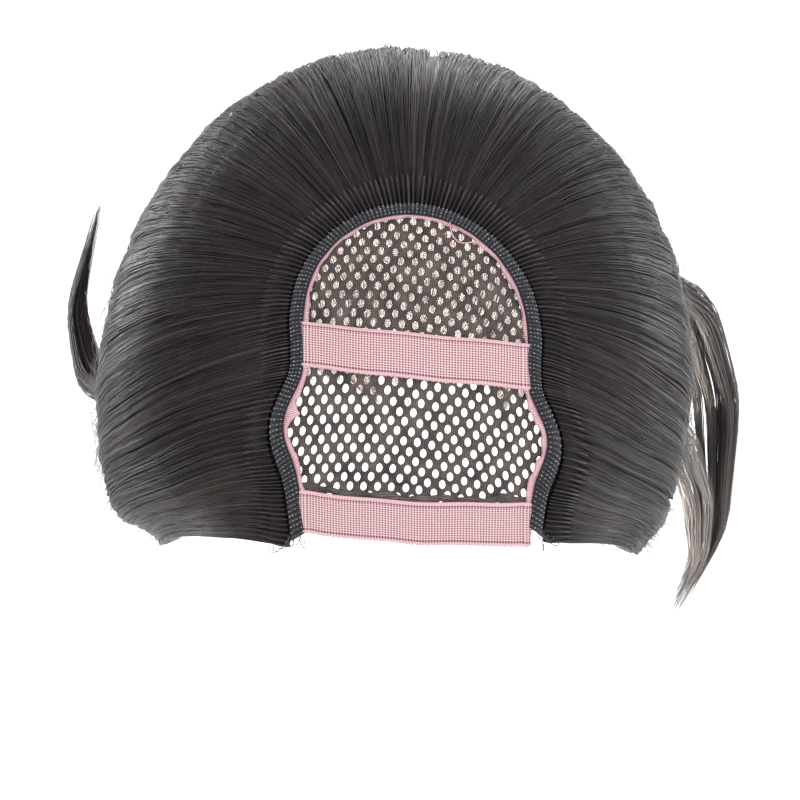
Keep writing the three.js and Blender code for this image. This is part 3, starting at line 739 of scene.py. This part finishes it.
# each stitch is a short square tube, thin at both ends; a row is its aside, its height and its slant
stitch_length, stitch_half = 0.62, 0.16
stitch_rows = [(0.5, 3.9, 1.3), (1.4, 4.2, 1.85), (2.3, 4.28, 1.3), (3.2, 4.1, 1.85)]
stitch_rings = [(-0.5, 0.45), (-0.28, 1.0), (0.28, 1.0), (0.5, 0.45)]
stitch_turn = np.array([0, 0.5, 1, 1.5]) * np.pi
stitch_points, stitch_glint_tints = [], []
for aside, up, slant in stitch_rows:
    t = (np.arange(rib_count) + 0.5 + chance.uniform(-0.08, 0.08, rib_count)) / rib_count
    t = np.clip(t * right_end, 0.002, right_end - 0.002)
    here = beside_edge(t, aside, up)
    ahead = unit(beside_edge(t + 0.001, aside, up) - beside_edge(t - 0.001, aside, up))
    off = unit(beside_edge(t, aside, up + 1) - here)
    lean = slant + chance.normal(0, 0.12, rib_count)
    run = ahead * np.cos(lean)[:, None] + np.cross(off, ahead) * np.sin(lean)[:, None]
    side = np.cross(off, run)
    length = stitch_length * chance.uniform(0.85, 1.1, rib_count)
    corners = []
    for place, swell in stitch_rings:
        for angle in stitch_turn:
            across = stitch_half * swell * (side * math.cos(angle) + off * math.sin(angle))
            corners.append(here + run * (place * length)[:, None] + across)
    stitch_points.append(np.stack(corners, 1))
    # painted highlight: each stitch gets a random pale tint that stands in for a glint on the thread
    stitch_glint_tints.append(np.repeat(chance.uniform(0.25, 1, rib_count) ** 1.6, len(corners)))
stitch_points = np.concatenate(stitch_points)
ids, one_stitch = round_quads(4, 4)
one_stitch = np.concatenate([one_stitch, [ids[0, ::-1], ids[-1]]])
stitch_faces = np.arange(len(stitch_points))[:, None, None] * ids.size + one_stitch
new_piece(
    "weft_stitches", stitch_points, stitch_faces.reshape(-1, 4), sewing_thread,
    tint=np.concatenate(stitch_glint_tints),
)

frayed_a_corner, frayed_radius = 7, 0.13
frayed_points, frayed_faces = [], []
for corner, outward in ((0.004, -1), (right_end - 0.003, 1)):
    for _ in range(frayed_a_corner):
        aside = chance.uniform(0.6, 4.6)
        base = beside_edge(corner, aside, 3.8)
        reach = chance.uniform(2.5, 6.5)
        sideways = outward * chance.uniform(-1.0, 4.5)
        curl = chance.uniform(-2.4, 2.4)
        path = smooth_path([
            base + (0, 1.2, 0.4), base, base + (sideways * 0.3, -reach * 0.4, -0.8),
            base + (sideways * 0.7 + curl * 0.5, -reach * 0.75, -2.3),
            base + (sideways + curl, -reach * 0.7, -2.6), base + (sideways + curl * 0.8, -reach * 0.4, -1.8),
        ], 26)
        points, faces = thread(path, [0.2, -0.4, 1.0], frayed_radius)
        frayed_faces.append(faces + sum(map(len, frayed_points)))
        frayed_points.append(points)
frayed_points, frayed_faces = np.concatenate(frayed_points), np.concatenate(frayed_faces)
new_piece(
    "weft_frayed_threads", frayed_points, frayed_faces, sewing_thread,
    tint=np.full(len(frayed_points), 0.12),
)

# Hair: long straight human hair, sewn into the weft in short gathered ribs. It is combed straight out
# from the edge all round, bends over the cap and hangs behind the shoulders in pointed locks.
# Human hair: near-black brown, satin, brighter where it turns away; a few strands are reddish.
def hair_shader(name, roughness):
    return new_material(name, {"Roughness": roughness, "IOR": 1.55, "Specular IOR Level": 0.22})


human_hair, fibre = hair_shader("human_hair", 0.36)
fibre_shade = add(human_hair.node_tree, "ShaderNodeAttribute", attribute_name="tint").outputs["Fac"]
fibre_colour = ramp(
    fibre_shade, (0, "#0A0809"), (0.62, "#2C2526"), (0.93, "#564B4A"), (0.97, "#4A2E27"), (1.0, "#573428"),
)
join_up(fibre_colour, fibre.inputs["Base Color"])

# The same hair packed close, below the strands that lie loose on top: streaks a third of a millimetre wide.
packed_hair, mass = hair_shader("packed_human_hair", 0.45)
drawn_out = add(
    packed_hair.node_tree, "ShaderNodeMapping", {"Vector": cloth_uv(packed_hair), "Scale": (1.6, 0.02, 1.0)},
)
streaks = grain(packed_hair, 1.0, 6.0, place=drawn_out.outputs["Vector"])
join_up(ramp(streaks, (0.36, "#0D0B0C"), (0.68, "#2E2728")), mass.inputs["Base Color"])
relief(mass, streaks, 0.9, 0.0012)

# the hair parts into broad locks and narrower strips, each with its place along the edge and its own relief
hair_base = 2.5
lock_count, strip_count = 46, 190
lock_middle = (np.arange(lock_count) + 0.5 + chance.uniform(-0.22, 0.22, lock_count)) / lock_count
lock_relief = chance.uniform(0.1, 0.6, lock_count)
lock_length = chance.uniform(0.76, 1.0, lock_count)
strip_middle = (np.arange(strip_count) + 0.5 + chance.uniform(-0.3, 0.3, strip_count)) / strip_count
strip_relief = chance.uniform(0.05, 0.4, strip_count)
strip_drift = chance.normal(0, 1, (strip_count, 3))
over_rows, under_rows = 11, 8


def nearest(t, middles):
    return np.abs(t[:, None] - middles[None]).argmin(1)


def inside(t, middles, which):
    """1 in the middle of a lock or strip, falling to 0 at its sides."""
    return 1 - np.clip(np.abs(t - middles[which]) * len(middles) * 1.7, 0, 1) ** 2


def strand_paths(t0, layer, length_share, start, wander=1.0):
    """Paths of combed strands: they gather into ribs at the weft, then into strips and pointed locks."""
    rib = (np.floor(t0 / right_end * rib_count) + 0.5) / rib_count * right_end
    lock, strip = nearest(t0, lock_middle), nearest(t0, strip_middle)
    over_head = lane_of(t0).over_head
    fall = hair_fall * length_share * lock_length[lock] * (1 - 0.24 * np.abs(t0 - 0.5))
    s = np.concatenate([
        np.linspace(0, 1, over_rows)[None] * (over_head - start)[:, None] + start[:, None],
        over_head[:, None] + np.linspace(0, 1, under_rows + 1)[None, 1:] * fall[:, None],
    ], 1)
    down = np.maximum(0, s - over_head[:, None]) / hair_fall
    t = mix(rib[:, None], t0[:, None], 0.25 + 0.75 * smooth((s + 1) / 12))
    to_strip = 0.16 * smooth((s - 12) / 90) + 0.34 * smooth(down * 2.2)
    to_lock = 0.04 * smooth((s - 60) / 90) + 0.62 * smooth(down * 1.05 - 0.04) ** 1.3
    t = mix(mix(t, strip_middle[strip][:, None], to_strip), lock_middle[lock][:, None], to_lock)
    phase = chance.uniform(0, 2 * np.pi, (len(t0), 2))
    sway = np.sin(s / 46 + strip_drift[strip, :1] * 3) * 0.0022 + np.sin(s / 29 + phase[:, :1]) * 0.0016
    sway = sway + np.sin(s / 11 + phase[:, 1:]) * 0.0002
    t = np.clip(t + wander * sway * smooth((s - 6) / 70) * (1 + down), 0.0005, right_end - 0.001)
    lane = lane_of(t)
    raised = (lock_relief[lock] * inside(t0, lock_middle, lock))[:, None] * smooth(s / 28)
    raised = raised + (strip_relief[strip] * inside(t0, strip_middle, strip))[:, None] * smooth(s / 15)
    out = hair_base + fullness_at(lane, s) * layer[:, None] + raised - 1.3 * smooth(-s / 2.4)
    out = out + np.sin(s / 19 + phase[:, :1]) * 0.25 * smooth(s / 40)
    points = hair_point(lane, s, out)
    return points, hair_point(lane, s, out + 1) - points


def strand_mesh(paths, lifts, radius):
    """Closed three-sided tubes along many paths at once."""
    beside, off = beside_and_off(paths, lifts)
    turn = np.array([0.5, 7 / 6, 11 / 6]) * np.pi
    across = np.cos(turn)[:, None] * beside[:, :, None] + np.sin(turn)[:, None] * off[:, :, None]
    rings = paths[:, :, None] + radius[:, :, None, None] * across
    ids = np.arange(rings[..., 0].size).reshape(rings.shape[:3])
    turned = np.roll(ids, -1, axis=2)
    sides = [
        np.stack([ids[:, :-1], turned[:, :-1], turned[:, 1:]], -1).reshape(-1, 3),
        np.stack([ids[:, :-1], turned[:, 1:], ids[:, 1:]], -1).reshape(-1, 3),
        ids[:, 0, ::-1], ids[:, -1],
    ]
    return rings.reshape(-1, 3), np.concatenate(sides)


def strand_width(rows, thick, tip):
    """Radius along strands: a little thinner at the root, and fine at the tip."""
    share = np.linspace(0, 1, rows)[None]
    return thick[:, None] * (0.75 + 0.25 * smooth(share / 0.15)) * mix(1, tip, smooth((share - 0.72) / 0.28))


def new_strands(name, paths, lifts, thick, tip, shade):
    """A piece of many strands: each has its own thickness and shade."""
    rows = paths.shape[1]
    points, faces = strand_mesh(paths, lifts, strand_width(rows, thick, tip))
    return new_piece(name, points, faces, human_hair, tint=np.repeat(shade, rows * 3))


# Under the loose strands each side has a packed mass, down to a ragged hem that they hide.
hair_sides = [("left", 0.0, 0.36), ("back", 0.36, 0.64), ("right", 0.64, right_end)]
mass_fall, hem_wave, over_share = 200.0, 14, 0.55
for side, begin, end in hair_sides:
    across = np.linspace(begin, end, 91)
    down = np.concatenate([np.linspace(0, over_share, 25), np.linspace(over_share, 1, 15)[1:]])
    mass_lane = lane_of(across[:, None])
    lock = nearest(across, lock_middle)
    hem = mass_fall * lock_length[lock] + hem_wave * np.cos((across - lock_middle[lock]) * lock_count * 4)
    s = np.where(
        down[None] < over_share,
        down[None] / over_share * (mass_lane.over_head + 1.8) - 1.8,
        mass_lane.over_head + (down[None] - over_share) / (1 - over_share) * hem[:, None],
    )
    ripple = 0.3 * np.sin(across * 1150)[:, None] * smooth(s / 30)
    thin = smooth((down - 0.9) / 0.1)[None]
    lower = hair_base - 0.45
    upper = lower + mix(fullness_at(mass_lane, s) * 0.92 + ripple, 1.4, thin) - 1.0 * smooth(-s / 1.8)
    mass_uv = np.stack(np.broadcast_arrays(across[:, None] * 470, s), -1)
    faces = hair_point(mass_lane, s, upper), hair_point(mass_lane, s, lower)
    packed = new_wall(f"hair_{side}_mass", *faces, mass_uv, packed_hair, "hair")
    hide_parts(f"hair_{side}")

# Gathered ribs: the short thick roots of the hair, one for each rib of the weft, from the weft outwards.
rib_t = (np.arange(rib_count) + 0.5) / rib_count * right_end
rib_s = np.array([-3.2, -2.2, -0.8, 1.0, 3.4, 6.4, 10.0])
rib_half = np.array([0.2, 0.27, 0.3, 0.3, 0.27, 0.2, 0.08])
rib_up = np.array([3.5, 3.95, 4.3, 4.6, 4.85, 4.9, 4.4]) + chance.uniform(-0.12, 0.12, (rib_count, 1))
rib_lane = lane_of(rib_t[:, None])
rib_middle = hair_point(rib_lane, rib_s, rib_up)
rib_lift = hair_point(rib_lane, rib_s, rib_up + 1) - rib_middle
rib_points, rib_faces = [], []
for k in range(rib_count):
    section = rib_half[:, None, None] * chance.uniform(0.85, 1.08) * circle(6)
    points, faces = swept_roll(rib_middle[k], rib_lift[k], section)
    rib_faces.append(faces + k * len(points))
    rib_points.append(points)
new_piece(
    "hair_gathered_ribs", np.concatenate(rib_points), np.concatenate(rib_faces), human_hair,
    tint=np.repeat(chance.uniform(0.15, 0.72, rib_count), len(rib_points[0])),
)

# Combed strands: the loose outer layer of each side, over the packed mass. A very few of them are reddish.
strands_a_side = 1700
for side, begin, end in hair_sides:
    t0 = chance.uniform(begin, end, strands_a_side)
    layer = chance.uniform(0.94, 1.01, strands_a_side)
    length_share = 1 - 0.38 * chance.random(strands_a_side) ** 2
    paths, lifts = strand_paths(t0, layer, length_share, chance.uniform(-3.0, -1.0, strands_a_side))
    thick = chance.uniform(0.1, 0.2, strands_a_side)
    shade = chance.beta(1.6, 2.6, strands_a_side) * 0.95
    shade = np.clip(shade + (chance.random(strands_a_side) < 0.008), 0, 1)
    combed = new_strands(f"hair_{side}_strands", paths, lifts, thick, 0.3, shade)
    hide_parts(f"hair_{side}")

# Loose locks: the ends of a few strands that swing clear of the rest, two at the right and one curl at the
# left. Each is a bundle of the same hair, split into wisps with light between them, and ends in a point.
# way: points of its middle line, as shares of the head's half width and half length and of the hair's fall.
# wisps: where each wisp lies in the bundle, as distances outwards and sideways.
lock_rows = 21
loose_locks = [
    {
        "name": "left_curl", "strands": 380, "wisp_half": 2.2, "close_up": 0.85,
        "way": [(-1.05, 0.45, 0.2), (-1.32, 0.58, 0.46), (-1.52, 0.85, 0.62),
                (-1.6, 1.15, 0.6), (-1.42, 1.42, 0.44)],
        "wisps": [(2.0, 0.0), (0.5, -1.0), (-1.5, 1.4), (-4.0, -0.8), (-6.5, 0.6), (-9.0, 0.0)],
    },
    {
        "name": "right_long_lock", "strands": 400, "wisp_half": 2.1, "close_up": 0.7,
        "way": [(1.1, 0.5, 0.01), (1.39, 0.68, 0.24), (1.58, 0.64, 0.5),
                (1.6, 0.42, 0.8), (1.4, 0.26, 1.0)],
        "wisps": [(-0.3, 0.0), (-2.4, 2.0), (-3.0, -1.6), (-5.4, 1.2), (-9.6, -0.6), (-14.0, 1.8)],
    },
    {
        "name": "right_short_lock", "strands": 190, "wisp_half": 2.6, "close_up": 0.6,
        "way": [(1.1, 0.18, 0.16), (1.29, 0.28, 0.34), (1.44, 0.3, 0.56),
                (1.48, 0.26, 0.76), (1.38, 0.22, 0.93)],
        "wisps": [(0.2, 0.0), (-2.4, 1.6), (-5.0, -1.0), (-7.6, 0.8)],
    },
]
for lock in loose_locks:
    way = np.array(lock["way"]) * (head_half_width, head_half_length, -hair_fall) - (0, 0, head_rise)
    middle = smooth_path(way, lock_rows)
    along_it = unit(np.gradient(middle, axis=0))
    away = np.sign(way[0, 0])
    outward = unit(np.array([away, 0, 0]) - along_it * (away * along_it[:, :1]))
    beside = np.cross(outward, along_it)
    share = np.linspace(0, 1, lock_rows)
    bundle = lock["strands"]
    wisp = np.array(lock["wisps"])[chance.integers(0, len(lock["wisps"]), bundle)]
    angle = chance.uniform(0, 2 * np.pi, bundle)
    far = np.sqrt(chance.random(bundle)) * lock["wisp_half"]
    first_share = chance.uniform(0, 0.1, bundle)[:, None]
    last_share = chance.uniform(0.84, 1.0, bundle)[:, None]
    own = mix(first_share, last_share, share[None])
    outwards, sideways = between_rows(own, share, outward), between_rows(own, share, beside)
    spread = smooth(own / 0.3) * (1 - lock["close_up"] * smooth((own - 0.45) / 0.55))
    tight = 1 - 0.75 * smooth((own - 0.6) / 0.4)
    drift = np.sin(own * 7 + angle[:, None]) * 0.5 * smooth(own / 0.3)
    out_by = wisp[:, :1] * spread + (far * np.cos(angle))[:, None] * tight + drift
    side_by = wisp[:, 1:] * spread * 1.6 + (far * np.sin(angle))[:, None] * tight * 1.6
    paths = between_rows(own, share, middle) + outwards * out_by[..., None] + sideways * side_by[..., None]
    thick = chance.uniform(0.09, 0.16, bundle)
    # painted light: these strands get paler tints than the combed hair, standing in for the backlit look of the
    # loose locks
    shade = np.clip(chance.beta(2.4, 1.4, bundle), 0, 0.93)
    loose = new_strands(f"hair_{lock['name']}", paths, outwards, thick, 0.25, shade)
    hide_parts("hair_left" if away < 0 else "hair_right")

# Flyaways: single fine hairs that stand off the combed surface, and short ones at the front corners.
fly_count, fly_radius = 560, 0.055
fly_t = chance.uniform(0.01, right_end - 0.01, fly_count)
fly_length = chance.uniform(0.1, 0.5, fly_count)
fly_start = chance.uniform(4, 60, fly_count)
fly_paths, fly_lifts = strand_paths(fly_t, np.ones(fly_count), fly_length, fly_start, wander=2.5)
fly_lifts = unit(fly_lifts)
fly_share = np.linspace(0, 1, fly_paths.shape[1])[None]
fly_rise = chance.uniform(0.2, 2.8, fly_count)[:, None]
fly_rise = fly_rise * np.sin(fly_share * chance.uniform(1.2, 3.0, fly_count)[:, None])
fly_aside = chance.normal(0, 5, fly_count)[:, None] * fly_share ** 1.5
fly_side = unit(np.cross(np.gradient(fly_paths, axis=1), fly_lifts))
fly_paths = fly_paths + fly_lifts * (0.4 + fly_rise)[..., None] + fly_side * fly_aside[..., None]
fly_shade = chance.uniform(0.2, 1, fly_count)
new_strands("hair_flyaways", fly_paths, fly_lifts, np.full(fly_count, fly_radius), 0.4, fly_shade)

strays_a_side, stray_rows, stray_radius = 34, 14, 0.065
stray_share = np.linspace(0, 1, stray_rows)[:, None]
stray_paths = []
for side in (-1, 1):
    for _ in range(strays_a_side):
        lane = lane_of(0.5 + side * chance.uniform(0.445, 0.48))
        reach = chance.uniform(16, 52)
        s = np.linspace(reach - chance.uniform(8, 14), reach + chance.uniform(2, 12), stray_rows)
        path = hair_point(lane, s, hair_base + fullness_at(lane, s) + 0.3)
        forward = chance.uniform(1.5, 8.5)
        bend = np.array([chance.normal(0, 3.5), -forward, -0.45 * forward])
        stray_paths.append(path + stray_share ** 1.6 * bend + stray_share * (0, 0, 0.4))
stray_paths = np.array(stray_paths)
stray_lifts = np.broadcast_to([0, -0.4, 0.9], stray_paths.shape)
stray_shade = chance.uniform(0.3, 1, len(stray_paths))
stray_thick = np.full(len(stray_paths), stray_radius)
new_strands("hair_front_strays", stray_paths, stray_lifts, stray_thick, 0.3, stray_shade)
